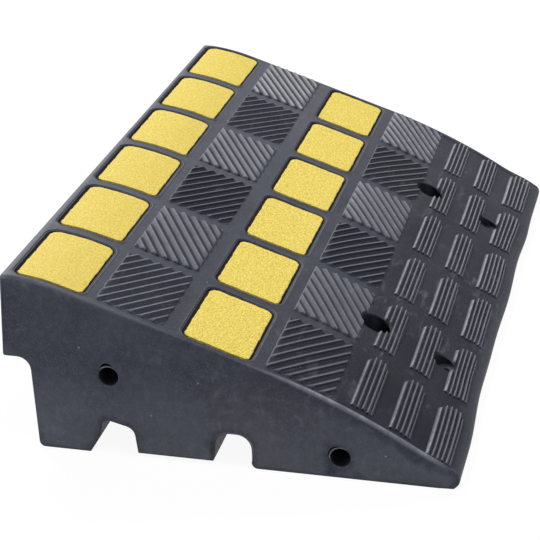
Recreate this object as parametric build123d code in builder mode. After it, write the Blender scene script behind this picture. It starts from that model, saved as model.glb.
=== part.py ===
"""Rubber kerb ramp: one moulded rubber body with twelve yellow reflective panels bonded into its recesses.

Millimetres. X runs down the slope from the kerb lip to the toe, Y along the kerb, Z up.
The origin is on the ground under the middle of the ramp.
"""

import os
from math import acos, asin, atan2, cos, degrees, hypot, radians, sin, tan

from build123d import *

os.makedirs("parts", exist_ok=True)

# Overall size
ramp_length = 600.0
ramp_depth = 360.0
ramp_height = 150.0
kerb_x = -ramp_depth / 2
toe_x = ramp_depth / 2

# Slope seen from the end: crown arc at the kerb, straight deck, one long arc, then the round nose of the toe,
# which runs on straight to the ground
crown_radius = 196.0
crown_angle = 2.8
toe_radius = 630.0
toe_angle = 34.0
nose_radius = 8.0
nose_height = 7.6
nose_end_angle = 135.0

# Kerb lip that stands against the kerb, and the riser set back below it, which leaves a gutter
lip_underside = 79.5
lip_lean = 2.5
lip_overhang = 22.0
riser_lean = 3.0
lip_root_radius = 11.0
riser_foot_radius = 5.0
lip_top_radius = 3.5
lip_edge_radius = 2.0
end_edge_radius = 3.0

# Rows of the tread pattern along the kerb
row_count = 6
row_pitch = ramp_length / row_count
row_positions = [(row - (row_count - 1) / 2) * row_pitch for row in range(row_count)]

# Yellow reflective panels and their recesses, the columns measured from the kerb
panel_distances = [38.0, 172.2]
panel_columns = [kerb_x + distance for distance in panel_distances]
panel_across = 55.5
panel_row_gap = 15.0
panel_along = row_pitch - panel_row_gap
panel_thickness = 2.5
panel_corner_radius = 6.5
panel_side_gap = 1.6
panel_proud = 0.3
recess_across = panel_across + 2 * panel_side_gap
recess_along = panel_along + 2 * panel_side_gap
recess_corner_radius = panel_corner_radius + panel_side_gap
recess_depth = panel_thickness - panel_proud

# Ribbed tread pads beside the panels, the columns measured from the kerb
pad_distances = [104.8, 237.6]
pad_columns = [kerb_x + distance for distance in pad_distances]
pad_across = 59.5
pad_row_gap = 9.0
pad_along = row_pitch - pad_row_gap
pad_corner_radius = 2.0
pad_root = 2.0
pad_end_taper = 25.0
rib_angle = 55.0
rib_pitch = 8.0
rib_height = 2.2
rib_top_width = 2.0
rib_groove_width = 1.6

# Raised lugs with a few ridges each, the columns measured back from the toe
lug_distances = [74.8, 45.2, 16.4]
lug_columns = [toe_x - distance for distance in lug_distances]
lug_ridge_counts = [4, 4, 5]
lug_across = 18.6
lug_row_gap = 14.0
lug_along = row_pitch - lug_row_gap
lug_height = 2.2
lug_crown = 0.8
lug_end_radius = 9.5
lug_side_margin = 2.0
lug_root = 2.0
lug_end_taper = 20.0
lug_ridge_height = 1.4
lug_ridge_top = 1.7

# Vertical anchor holes with a flat seat for the bolt head, in the second row from each end,
# measured back from the toe
anchor_rows = [row_positions[1], row_positions[-2]]
anchor_upper_distance = 88.0
anchor_lower_distance = 30.0
anchor_upper_x = toe_x - anchor_upper_distance
anchor_lower_x = toe_x - anchor_lower_distance
anchor_upper_pocket = 24.0
anchor_lower_pocket = 19.0
anchor_hole = 8.0
anchor_seat_height = 23.0

# Blind round sockets in both ends that take the dowels between neighbouring ramps,
# the upper one measured from the kerb and the lower one from the toe
socket_diameter = 17.0
socket_depth = 45.0
socket_upper_distance = 86.5
socket_upper_height = 69.0
socket_lower_distance = 89.0
socket_lower_height = 17.5
socket_upper = (kerb_x + socket_upper_distance, socket_upper_height)
socket_lower = (toe_x - socket_lower_distance, socket_lower_height)

# Two drainage channels along the underside, measured from the kerb, and the foot between them
rear_channel_width = 39.5
rear_channel_distance = 68.0
rear_channel_left = kerb_x + rear_channel_distance
rear_channel_right = rear_channel_left + rear_channel_width
rear_channel_left_top = 31.0
rear_channel_right_top = 24.5
rear_channel_chamfer_x = 9.0
rear_channel_chamfer_z = 15.0
rear_channel_side_lean = 2.5
rear_channel_left_radius = 6.0
rear_channel_right_radius = 9.0
front_channel_width = 31.0
front_channel_distance = 169.5
front_channel_left = kerb_x + front_channel_distance
front_channel_right = front_channel_left + front_channel_width
front_channel_top = 27.0
front_channel_side_lean = 1.5
front_channel_radius = 12.0
front_channel_mouth = 3.5
mouth_taper = 45.0
front_foot_radius = 5.0
middle_foot_relief = 3.0
channel_overrun = 5.0

# Slope arithmetic: the straight deck is the common tangent of the crown arc and the toe arc
crown_start_x = kerb_x + lip_lean
crown_centre_x = crown_start_x - crown_radius * sin(radians(crown_angle))
crown_centre_z = ramp_height - crown_radius * cos(radians(crown_angle))
nose_centre_x = toe_x - nose_radius
toe_centre_x = nose_centre_x - (toe_radius - nose_radius) * sin(radians(toe_angle))
toe_centre_z = nose_height - (toe_radius - nose_radius) * cos(radians(toe_angle))
centre_run = toe_centre_x - crown_centre_x
centre_drop = crown_centre_z - toe_centre_z
centre_distance = hypot(centre_run, centre_drop)
radius_difference = toe_radius - crown_radius
deck_angle = degrees(acos(radius_difference / centre_distance) - atan2(centre_run, centre_drop))
deck_cosine = cos(radians(deck_angle))
deck_sine = sin(radians(deck_angle))
deck_start_x = crown_centre_x + crown_radius * deck_sine
deck_start_z = crown_centre_z + crown_radius * deck_cosine
deck_end_x = toe_centre_x + toe_radius * deck_sine
deck_end_z = toe_centre_z + toe_radius * deck_cosine
riser_top_x = kerb_x + lip_overhang
riser_foot_x = riser_top_x + riser_lean


def slope_angle_at(x):
    """Downward angle of the slope at x, in degrees, from the arc or line that covers x."""
    if x < deck_start_x:
        return degrees(asin((x - crown_centre_x) / crown_radius))
    if x > deck_end_x:
        return degrees(asin((x - toe_centre_x) / toe_radius))
    return deck_angle


def slope_height_at(x):
    """Height of the slope above the ground at x."""
    angle = radians(slope_angle_at(x))
    if x < deck_start_x:
        return crown_centre_z + crown_radius * cos(angle)
    if x > deck_end_x:
        return toe_centre_z + toe_radius * cos(angle)
    return deck_start_z - (x - deck_start_x) * tan(angle)


def slope_frame(x):
    """Middle point on the slope at x, the direction down the slope there, and the direction out of it."""
    angle = radians(slope_angle_at(x))
    return (
        Vector(x, 0, slope_height_at(x)),
        Vector(cos(angle), 0, -sin(angle)),
        Vector(sin(angle), 0, cos(angle)),
    )


def slope_curve(lift):
    """Crown arc, deck line and toe arc at a distance above the slope, drawn in the open line builder."""
    start_angle = radians(crown_angle)
    start = (crown_start_x + lift * sin(start_angle), ramp_height + lift * cos(start_angle))
    deck_start = (deck_start_x + lift * deck_sine, deck_start_z + lift * deck_cosine)
    deck_end = (deck_end_x + lift * deck_sine, deck_end_z + lift * deck_cosine)
    crown = TangentArc(start, deck_start, tangent=(cos(start_angle), -sin(start_angle)))
    Line(deck_start, deck_end)
    toe = JernArc(deck_end, (deck_cosine, -deck_sine), toe_radius + lift, deck_angle - toe_angle)
    return crown, toe


def front_arch_points(margin):
    """Corners of the front channel outline grown by a margin."""
    left = front_channel_left - margin
    right = front_channel_right + margin
    top = front_channel_top + margin
    return [
        (left, -channel_overrun),
        (left, front_foot_radius),
        (left + front_channel_side_lean, top),
        (right - front_channel_side_lean, top),
        (right, front_foot_radius),
        (right, -channel_overrun),
    ]


# Recesses for the panels: a band under the slope, kept only inside one rounded rectangle per panel
recess_parts = []
for column_x in panel_columns:
    middle, down_slope, outward = slope_frame(column_x)
    with BuildPart() as recesses:
        with BuildSketch(Plane.XZ):
            with BuildLine():
                upper_start, upper_end = slope_curve(recess_depth)
                lower_start, lower_end = slope_curve(-recess_depth)
                Line(upper_start @ 0, lower_start @ 0)
                Line(upper_end @ 1, lower_end @ 1)
            make_face()
        extrude(amount=ramp_length / 2, both=True)
        with BuildSketch(Plane(middle, down_slope, outward)):
            with Locations([(0, row_y) for row_y in row_positions]):
                RectangleRounded(recess_across, recess_along, recess_corner_radius)
        extrude(amount=ramp_height / 2, both=True, mode=Mode.INTERSECT)
    recess_parts.append(recesses.part)

# One ribbed pad for each pad column and rib direction, built on the middle row line, with the rows it goes to
pad_parts = []
rib_flank = (rib_pitch - rib_top_width - rib_groove_width) / 2
pad_reach = hypot(pad_across, pad_along) / 2
ribs_each_side = int(pad_reach / rib_pitch) + 1
for column_x in pad_columns:
    middle, down_slope, outward = slope_frame(column_x)
    along_kerb = outward.cross(down_slope)
    for turn, rows in ((rib_angle, row_positions[0::2]), (-rib_angle, row_positions[1::2])):
        rib_heading = down_slope * cos(radians(turn)) + along_kerb * sin(radians(turn))
        across_ribs = outward.cross(rib_heading)
        section = []
        for rib in range(-ribs_each_side, ribs_each_side + 1):
            rib_middle = rib * rib_pitch
            section.append((rib_middle - rib_top_width / 2 - rib_flank, 0))
            section.append((rib_middle - rib_top_width / 2, rib_height))
            section.append((rib_middle + rib_top_width / 2, rib_height))
            section.append((rib_middle + rib_top_width / 2 + rib_flank, 0))
        with BuildPart() as pad:
            with BuildSketch(Plane(middle, across_ribs, rib_heading)):
                with BuildLine():
                    Polyline(
                        *section, (section[-1][0], -pad_root), (section[0][0], -pad_root), close=True
                    )
                make_face()
            extrude(amount=pad_reach, both=True)
            with BuildSketch(Plane(middle - outward * pad_root, down_slope, outward)):
                RectangleRounded(pad_across, pad_along, pad_corner_radius)
            extrude(amount=pad_root + rib_height, taper=pad_end_taper, mode=Mode.INTERSECT)
        pad_parts.append((pad.part, rows))

# One ridged lug for each lug column, built on the middle row line
lug_parts = []
for column_x, ridge_count in zip(lug_columns, lug_ridge_counts):
    middle, down_slope, outward = slope_frame(column_x)
    ridge_pitch = lug_across / ridge_count
    section = []
    for ridge in range(ridge_count):
        ridge_middle = (ridge - (ridge_count - 1) / 2) * ridge_pitch
        rise = lug_height + lug_crown * (1 - (2 * ridge_middle / lug_across) ** 2)
        section.append((ridge_middle - ridge_pitch / 2, rise - lug_ridge_height))
        section.append((ridge_middle - lug_ridge_top / 2, rise))
        section.append((ridge_middle + lug_ridge_top / 2, rise))
    section[0] = (-lug_across / 2, 0)
    section.append((lug_across / 2, 0))
    with BuildPart() as lug:
        with BuildSketch(Plane(middle, down_slope, down_slope.cross(outward))):
            with BuildLine():
                Polyline(
                    *section, (section[-1][0], -lug_root), (section[0][0], -lug_root), close=True
                )
            make_face()
        extrude(amount=lug_along / 2, both=True)
        with BuildSketch(Plane(middle - outward * lug_root, down_slope, outward)):
            RectangleRounded(lug_across + 2 * lug_side_margin, lug_along, lug_end_radius)
        extrude(amount=lug_root + lug_height + lug_crown, taper=lug_end_taper, mode=Mode.INTERSECT)
    lug_parts.append(lug.part)

# Body: the end outline pulled along the kerb, with rounded top edges at both ends
with BuildPart() as rubber_body:
    with BuildSketch(Plane.XZ) as outline:
        with BuildLine():
            crown, toe = slope_curve(0)
            toe_heading = (cos(radians(toe_angle)), -sin(radians(toe_angle)))
            nose = JernArc(toe @ 1, toe_heading, nose_radius, toe_angle - nose_end_angle)
            nose_foot_run = (nose @ 1).Y / tan(radians(nose_end_angle))
            Polyline(
                nose @ 1,
                ((nose @ 1).X + nose_foot_run, 0),
                (riser_foot_x, 0),
                (riser_top_x, lip_underside),
                (kerb_x, lip_underside),
                crown @ 0,
            )
        make_face()
        lip_root = outline.vertices().sort_by_distance((riser_top_x, lip_underside))[0]
        fillet(lip_root, lip_root_radius)
        lip_top = outline.vertices().sort_by_distance((crown_start_x, ramp_height))[0]
        fillet(lip_top, lip_top_radius)
    extrude(amount=ramp_length / 2, both=True)
    end_faces = rubber_body.faces().filter_by(Axis.Y)
    slope_edges = [
        edge
        for edge in end_faces.edges()
        if abs((edge @ 0.5).Z - slope_height_at((edge @ 0.5).X)) < nose_radius
    ]
    fillet(slope_edges, end_edge_radius)
    kerb_edges = rubber_body.edges().filter_by(Axis.Y)
    riser_foot_edge = kerb_edges.sort_by_distance((riser_foot_x, 0, 0))[0]
    fillet(riser_foot_edge, riser_foot_radius)
    kerb_edges = rubber_body.edges().filter_by(Axis.Y)
    lip_lower_edge = kerb_edges.sort_by_distance((kerb_x, 0, lip_underside))[0]
    fillet(lip_lower_edge, lip_edge_radius)

    # Drainage channels and the raised foot between them
    with BuildSketch(Plane.XZ) as rear_channel:
        with BuildLine():
            Polyline(
                (rear_channel_left, 0),
                (rear_channel_left + rear_channel_chamfer_x, rear_channel_chamfer_z),
                (rear_channel_left + rear_channel_chamfer_x, rear_channel_left_top),
                (rear_channel_right - rear_channel_side_lean, rear_channel_right_top),
                (rear_channel_right, 0),
                (rear_channel_right, -channel_overrun),
                (rear_channel_left, -channel_overrun),
                close=True,
            )
        make_face()
        rear_left = (rear_channel_left + rear_channel_chamfer_x, rear_channel_left_top)
        fillet(rear_channel.vertices().sort_by_distance(rear_left)[0], rear_channel_left_radius)
        rear_right = (rear_channel_right - rear_channel_side_lean, rear_channel_right_top)
        fillet(rear_channel.vertices().sort_by_distance(rear_right)[0], rear_channel_right_radius)
    extrude(amount=ramp_length / 2, both=True, mode=Mode.SUBTRACT)
    with BuildSketch(Plane.XZ) as front_channel:
        with BuildLine():
            Polyline(*front_arch_points(0), close=True)
        make_face()
        fillet(front_channel.vertices().sort_by(Axis.Y)[-2:], front_channel_radius)
        with BuildLine():
            foot = TangentArc(
                (front_channel_right, front_foot_radius),
                (front_channel_right + front_foot_radius, 0),
                tangent=(0, -1),
            )
            Polyline(
                foot @ 1,
                (front_channel_right + front_foot_radius, -channel_overrun),
                (front_channel_right - front_foot_radius, -channel_overrun),
                (front_channel_right - front_foot_radius, front_foot_radius),
                foot @ 0,
            )
        make_face()
    extrude(amount=ramp_length / 2, both=True, mode=Mode.SUBTRACT)
    for side in (-1, 1):
        with BuildSketch(Plane.XZ.offset(-side * ramp_length / 2)) as mouth:
            with BuildLine():
                Polyline(*front_arch_points(front_channel_mouth), close=True)
            make_face()
            fillet(mouth.vertices().sort_by(Axis.Y)[-2:], front_channel_radius + front_channel_mouth)
        extrude(amount=side * front_channel_mouth, taper=mouth_taper, mode=Mode.SUBTRACT)
    with BuildSketch(Plane.XZ):
        with BuildLine():
            Polyline(
                (rear_channel_right, -channel_overrun),
                (front_channel_left, -channel_overrun),
                (front_channel_left, middle_foot_relief),
                (rear_channel_right, middle_foot_relief),
                close=True,
            )
        make_face()
    extrude(amount=ramp_length / 2, both=True, mode=Mode.SUBTRACT)

    # Recesses, ribbed pads and lugs
    for recess in recess_parts:
        add(recess, mode=Mode.SUBTRACT)
    for pad_part, rows in pad_parts:
        with Locations([(0, row_y, 0) for row_y in rows]):
            add(pad_part)
    for lug_part in lug_parts:
        with Locations([(0, row_y, 0) for row_y in row_positions]):
            add(lug_part)

    # Anchor holes: a pocket down to the seat, then a small hole to the ground
    for pocket_x, pocket_diameter in (
        (anchor_upper_x, anchor_upper_pocket),
        (anchor_lower_x, anchor_lower_pocket),
    ):
        with BuildSketch(Plane.XY.offset(anchor_seat_height)):
            with Locations([(pocket_x, row_y) for row_y in anchor_rows]):
                Circle(pocket_diameter / 2)
        extrude(amount=ramp_height, mode=Mode.SUBTRACT)
        with BuildSketch(Plane.XY):
            with Locations([(pocket_x, row_y) for row_y in anchor_rows]):
                Circle(anchor_hole / 2)
        extrude(amount=ramp_height, mode=Mode.SUBTRACT)

    # Dowel sockets in both ends
    for side in (-1, 1):
        with BuildSketch(Plane.XZ.offset(-side * ramp_length / 2)):
            with Locations(socket_upper, socket_lower):
                Circle(socket_diameter / 2)
        extrude(amount=side * socket_depth, mode=Mode.SUBTRACT)

rubber_body.part.label = "rubber_body"
export_step(rubber_body.part, "parts/rubber_body.step")

# Yellow reflective panels, one to a recess
for column_name, column_x in zip(("kerb", "slope"), panel_columns):
    middle, down_slope, outward = slope_frame(column_x)
    for row, row_y in enumerate(row_positions):
        with BuildPart() as panel:
            with BuildSketch(Plane.XZ.offset(-row_y)):
                with BuildLine():
                    upper_start, upper_end = slope_curve(panel_proud)
                    lower_start, lower_end = slope_curve(-recess_depth)
                    Line(upper_start @ 0, lower_start @ 0)
                    Line(upper_end @ 1, lower_end @ 1)
                make_face()
            extrude(amount=panel_along, both=True)
            with BuildSketch(Plane(middle + Vector(0, row_y, 0), down_slope, outward)):
                RectangleRounded(panel_across, panel_along, panel_corner_radius)
            extrude(amount=ramp_height / 2, both=True, mode=Mode.INTERSECT)
        panel.part.label = f"panel_{column_name}_{row + 1}"
        export_step(panel.part, f"parts/panel_{column_name}_{row + 1}.step")
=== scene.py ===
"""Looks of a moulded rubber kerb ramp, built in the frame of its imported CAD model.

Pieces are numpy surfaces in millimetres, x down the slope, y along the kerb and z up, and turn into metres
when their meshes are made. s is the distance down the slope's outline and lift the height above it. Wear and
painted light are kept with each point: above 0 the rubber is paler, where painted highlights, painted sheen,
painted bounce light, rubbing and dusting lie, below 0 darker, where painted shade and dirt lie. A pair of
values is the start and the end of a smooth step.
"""

from math import acos, atan2, cos, degrees, hypot, radians, sin, tan

import bmesh
import bpy
import numpy as np
from mathutils import Matrix, Vector
from mathutils.geometry import delaunay_2d_cdt


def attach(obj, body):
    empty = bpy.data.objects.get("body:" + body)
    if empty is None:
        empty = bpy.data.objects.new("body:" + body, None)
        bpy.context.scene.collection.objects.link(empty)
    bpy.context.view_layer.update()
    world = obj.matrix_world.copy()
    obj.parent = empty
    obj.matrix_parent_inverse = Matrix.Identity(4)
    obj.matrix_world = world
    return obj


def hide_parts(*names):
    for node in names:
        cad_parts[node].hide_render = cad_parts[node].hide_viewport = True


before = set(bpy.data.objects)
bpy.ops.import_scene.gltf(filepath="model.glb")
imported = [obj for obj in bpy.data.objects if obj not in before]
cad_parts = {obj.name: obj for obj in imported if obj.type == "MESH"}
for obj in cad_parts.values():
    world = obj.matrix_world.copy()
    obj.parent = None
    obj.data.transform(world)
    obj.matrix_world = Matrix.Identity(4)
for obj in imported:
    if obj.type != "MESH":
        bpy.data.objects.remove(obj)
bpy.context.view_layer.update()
METRES = 0.001

# Overall size
ramp_length = 600.0
ramp_depth = 360.0
ramp_height = 150.0
kerb_x = -ramp_depth / 2
toe_x = ramp_depth / 2
end_y = ramp_length / 2

# Slope seen from the end: crown arc at the kerb, straight deck, toe arc, round nose and its foot
crown_radius = 196.0
crown_angle = 2.8
toe_radius = 630.0
toe_angle = 34.0
nose_radius = 8.0
nose_height = 7.6
nose_end_angle = 135.0

# Kerb lip, and the riser set back below it
lip_underside = 79.5
lip_lean = 2.5
lip_overhang = 22.0
riser_lean = 3.0
lip_root_radius = 11.0
riser_foot_radius = 5.0
lip_top_radius = 3.5
lip_edge_radius = 2.0

# Drainage channels along the underside, the rear one nearer the kerb
rear_left = kerb_x + 68.0
rear_right = rear_left + 39.5
rear_left_top = 31.0
rear_right_top = 24.5
rear_chamfer_x = 9.0
rear_chamfer_z = 15.0
rear_lean = 2.5
rear_left_radius = 6.0
rear_right_radius = 9.0
front_left = kerb_x + 169.5
front_right = front_left + 31.0
front_top = 27.0
front_lean = 1.5
front_radius = 12.0
front_mouth = 3.5
front_mouth_heights = (4.0, 12.0)
channel_radius = 5.0
foot_relief = 3.0
foot_radius = 1.0

# Rounding and bead along the edges of the two ends
end_edge_radius = 2.6
lug_edge_radius = 4.4
base_edge_radius = 1.0
base_edge_heights = (lip_underside + 8.0, ramp_height - 25.0)
bead_height = 0.45
lug_end_bead_height = 1.2
bead_distance = 2.4
bead_width = 1.7
calm_end = (0.0, 10.0)
lug_field_sink = 1.5
lug_field_rim = (3.0, 6.5)

# Slow unevenness: height of each wave, its length to a radian in two directions, and its start
slope_waves = ((0.13, 31.0, 83.0, 0.0), (0.1, 19.0, -57.0, 1.3), (0.08, 71.0, 29.0, 0.0))
face_waves = ((0.25, 23.0, 17.0, 0.0), (0.2, 41.0, -29.0, 2.0), (0.12, 13.0, np.inf, 1.0))
# Slow patches of the painted shade in the lug field
field_shade_waves = ((0.1, 13.0, 37.0, 0.0), (1.0, -29.0, 23.0, 0.7))
toe_waves = ((0.35, 21.0, np.inf, 0.0), (0.35, 47.0, np.inf, 1.0))

# Hand-trimmed toe: its least swell, and each further swell with its start and end along the kerb
toe_swell_least = 1.8
toe_swells = ((1.8, -140.0, -250.0), (2.0, -120.0, 80.0), (2.4, 120.0, 190.0))
toe_swell_run = (toe_x - 32.0, toe_x - 2.0)

# Painted light and shade of the bare slope
# Painted highlight along the kerb rim and the top of the lip
rim_highlight = 0.52
rim_run = (0.5, 4.5)
lip_highlight_heights = (ramp_height - 6.0, ramp_height - 1.0)
# Painted highlight along the rounded end edges, strongest and palest beside the lugs
edge_highlight = 0.5
lug_edge_highlight = 1.57
edge_highlight_start = (-0.05, 0.2)
edge_highlight_middle = 0.5
edge_highlight_width = 0.38
# Lighter towards the kerb and darker on the deck, with painted sheen towards the far end and painted shade
# towards the near end
kerb_lightening = 0.2
deck_darkening = -0.14
kerb_to_deck_run = (90.0, 200.0)
far_sheen = 0.24
# Painted shade in the sunk lug field, deeper towards the near end and in slow patches
field_shade = 0.71
far_field_loss = 0.3
field_rim = (2.5, 5.5)

# Painted light and hollow of the end faces, over the distance from their edges or the height: painted bounce
# light low down, painted shade near the top
face_swell_run = (0.0, 14.0)
face_dish = 0.3
face_dish_run = (0.0, 20.0)
face_bounce_light = 0.29
face_top_shade = -0.07
face_light_heights = (6.0, 100.0)
face_light_run = (0.0, 4.0)

# Rows of the tread pattern, and its columns measured from the kerb or the toe
row_count = 6
row_pitch = ramp_length / row_count
row_places = (np.arange(row_count) - (row_count - 1) / 2) * row_pitch
panel_columns = {"kerb": kerb_x + 38.0, "slope": kerb_x + 172.2}
pad_columns = {"upper": kerb_x + 103.8, "lower": kerb_x + 237.4}
lug_columns = toe_x - np.array([74.6, 44.4, 15.8])
lug_field_lead = 20.0

# Yellow panels and their recesses
panel_across = 55.5
panel_along = row_pitch - 15.0
panel_thickness = 2.5
panel_radius = 6.5
panel_side_gap = 1.6
panel_proud = 0.3
recess_depth = panel_thickness - panel_proud
recess_half = np.array([panel_across, panel_along]) / 2 + panel_side_gap
recess_radius = panel_radius + panel_side_gap
recess_margin = 2.6
recess_window = recess_half + recess_margin
# How far down the slope the panel of each row sits off its column's line, and the room left for that
panel_slips = {"kerb": (1.9, 1.9, 1.0, 0.0, 0.0, 0.0), "slope": (0.0,) * row_count}
slip_room = 2.6
# Offset from the recess wall, lift and painted light of each loop: a rounded lip down to a shelf, then the
# wall, with painted highlights on the lip and the shelf's edge and painted shade down the wall
recess_steps = (
    (2.3, 0.05, 0.0),
    (1.9, 0.28, 0.5),
    (1.6, 0.3, 0.9),
    (1.35, 0.12, 0.4),
    (1.2, -0.3, -0.3),
    (0.75, -0.35, -0.2),
    (0.5, -0.22, 0.8),
    (0.2, -0.3, 0.5),
    (0.05, -0.6, -0.5),
    (-0.15, -1.7, -1.0),
    (-0.7, -2.2, -1.0),
    (-4.0, -2.2, -1.0),
)
recess_floor_shares = (0.85, 0.5, 0.15)
recess_floor_shade = -1.0
# The painted highlight on the lip grows from its least share towards the downhill side, and half as much
# towards the far one
lip_highlight_least = 0.1
lip_highlight_ways = np.array([1.0, 0.5])
lip_highlight_run = (0.1, 1.0)

# Cut sheets of the panels: their trim, their downhill set in each column, and their edge
sheet_half = (np.array([panel_across, panel_along]) - [1.6, 1.0]) / 2
sheet_drift = {"kerb": 0.8, "slope": 0.3}
sheet_facets = 240
under_inset = 0.3
top_inset = 0.45
# Offset and lift of the loops up the edge, and shares of the outline for the loops below and above
sheet_edge_steps = (
    (-under_inset, -recess_depth),
    (0.0, -recess_depth + 0.3),
    (0.0, -0.3),
    (-0.12, -0.1),
    (-top_inset, 0.0),
)
sheet_under_shares = (0.1, 0.4, 0.7, 0.9)
sheet_top_shares = (0.97, 0.85, 0.7, 0.5, 0.3, 0.1)
# Height, count round the edge and times the panel's phase of each wave of the cut
sheet_edge_waves = ((0.16, 17, 1), (0.13, 41, 2), (0.1, 67, 3))
sheet_corner_cuts = np.array([-0.6, 1.6, -1.8, -2.2])
sheet_corner_spread = 0.8
sheet_corner_turn = 2.4
sheet_buckle = 0.1
sheet_buckle_lengths = (5.8, 19.0)
slope_column_phase = 7.0

# Ribbed tread pads
pad_half = np.array([57.4, row_pitch - 12.0]) / 2
pad_slip = 2.0
pad_radius = 3.6
pad_root = 2.0
pad_bury = 0.5
pad_floor = 0.15
pad_edge_round = 1.5
pad_end_steps = np.array([0.0, 0.3, 0.7, 1.2, 2.0])
pad_tip_gap = 0.02
pad_steps = 8
pad_steps_at_pocket = 60
rib_angles = (58.0, -56.0)
rib_pitch = 8.0
rib_height = 2.2
rib_top_width = 0.5
rib_flank = 3.55
rib_softness = 0.3
rib_breaks = np.array([0.0, 0.12, 0.3, 0.5, 0.7, 0.88, 1.0])
ribs_each_side = 8
# Rub, painted light and painted shade of the ribs, over the height of their section from 0 to 1: crests rubbed
# with a painted highlight, painted shade in the grooves and on the downhill flanks, and a painted highlight on
# the uphill flanks that grows towards the far end
rib_crest = (0.85, 1.0)
rib_groove = (0.08, 0.32)
rib_side = ((0.05, 0.8), (0.9, 1.0))
rib_crest_rub_and_highlight = 0.85
rib_groove_shade = 0.7
uphill_highlight = 0.39
uphill_far_gain = 1.05
downhill_shade = 0.95
row_light_downhill_gain = 2.6
# Painted highlight along the pads' uphill edge, fainter along the near edge of every other pad
pad_edge_highlight = 0.75
pad_near_edge_share = 0.5
pad_edge_line = (0.6, 1.6)
# Painted light on the pad of each row, from the near end, also on its downhill flanks; below 0 means painted
# shade
pad_row_light = {"upper": (0.12, 0.0, -0.14, 0.0, 0.06, 0.08), "lower": (-0.05, 0.08, -0.14, 0.11, -0.03, 0.11)}

# Ridged lugs
lug_across = 19.6
lug_shelf = 2.0
lug_near_reach = 39.0
lug_far_reach = 44.0
# How far the lugs of each column sit off their row's middle, at the near and at the far end of the ramp
lug_slips = ((1.5, 1.5), (0.0, 0.0), (-6.5, 0.0))
lug_height = 2.7
lug_crown = 0.4
lug_near_share = 0.6
lug_near_run = 16.0
lug_near_jag = 0.7
lug_jag_turn = 2.3
lug_end_radius = 8.2
lug_end_steps = np.array([0.0, 0.2, 0.5, 0.9, 1.5, 2.4])
lug_end_run = 3.0
lug_far_round = 2.4
lug_near_round = 1.5
lug_root = 2.0
lug_bury = 0.5
lug_steps = 16
lug_steps_at_pocket = 70
ridge_counts = (4, 4, 5)
# Section of one ridge over its pitch: a steep uphill flank, a narrow crest and a longer downhill flank
ridge_places = np.array([-0.5, -0.42, -0.35, -0.21, -0.17, -0.12, -0.07, -0.02, 0.3, 0.4])
ridge_heights = (0.0, 0.0, 0.08, 0.92, 0.99, 1.0, 0.96, 0.85, 0.12, 0.02)
# Painted light of the section: crests rubbed and with a painted highlight, painted shade in the grooves
ridge_rub_light_and_shade = (-0.95, -0.9, -0.5, 0.8, 1.15, 1.15, 0.9, 0.4, 0.05, -0.55)
# The first ridge has a wall in place of its uphill flank, and starts at this place of the section
first_ridge_start = 4
# Low bead along the downhill side, in pitches from the last ridge
lug_bead_places = np.array([0.46, 0.54, 0.6, 0.66])
lug_bead_heights = (0.08, 0.5, 0.58, 0.52)
# Painted highlight on the bead and painted shade at its foot
lug_bead_light_and_shade = (-0.9, 0.3, 0.75, 0.5)
groove_depth_share = 0.78
uphill_wall = 1.8
# Painted highlight on the uphill wall
uphill_wall_highlight = 1.35
downhill_wall = 1.5
wall_steps = np.linspace(0, 1, 6)
wall_swell = 1.3
# Fade of the painted highlight down the walls, share of painted shade in grooves, far-end gain, painted shadow
# at near-end feet
wall_highlight_run = (0.0, 0.8)
lug_shade_share = 0.9
lug_far_gain = 0.2
lug_foot_shadow = 1.0
lug_foot_line = (0.5, 1.4)

# Anchor pockets, each with a flat seat and a hole through the base
anchor_rows = row_places[[1, -2]]
anchor_radii = {toe_x - 88.0: 12.8, toe_x - 30.0: 9.5}
pockets = [(np.array([x, y]), radius) for x, radius in anchor_radii.items() for y in anchor_rows]
hole_radius = 4.0
seat_height = 23.0
anchor_window = 15.0
anchor_window_step = 3.0
# Offset from the pocket's wall and lift of the loops of its rim
rim_steps = ((1.6, 0.0), (0.9, 0.12), (0.4, 0.0), (0.1, -0.4))
pocket_wall_start = 0.8
pocket_clearance = 0.4
pocket_sink = 1.2

# Dowel sockets in both ends
socket_radius = 8.5
socket_depth = 45.0
socket_lip = 1.0
socket_facets = 48
sleeve_wall = 0.9
sleeve_gap = 1.6
bore_radius = socket_radius - 0.3
sockets = np.array([(kerb_x + 86.5, 69.0), (toe_x - 89.0, 17.5)])
# Middle, radius and depth of the crescent worn beside each socket, from the socket's own middle
crescents = ((-0.9, 6.1, 5.6, 7.0), (-1.8, 2.2, 8.0, 3.0))

# Spacing of the meshes' lines and points
corner_facets = 6
recess_corner_lines = 6
nose_facets = 10
slope_spacing = 8.0
kerb_spacing = 12.0
base_spacing = 14.0
base_lead = 4.0
end_steps = np.array([0.0, 0.12, 0.4, 0.85, 1.4, 2.1, 3.0, 3.9, 5.0, 6.5, 8.5])
face_margin = 4.0
face_pitch = 7.0
face_clearance = 3.0
crease_angle = 40.0
weld_distance = 0.004


def outward_at(angle):
    """Outward direction x, z of the slope's outline where it falls by an angle in degrees."""
    return np.array([sin(radians(angle)), cos(radians(angle))])


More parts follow.
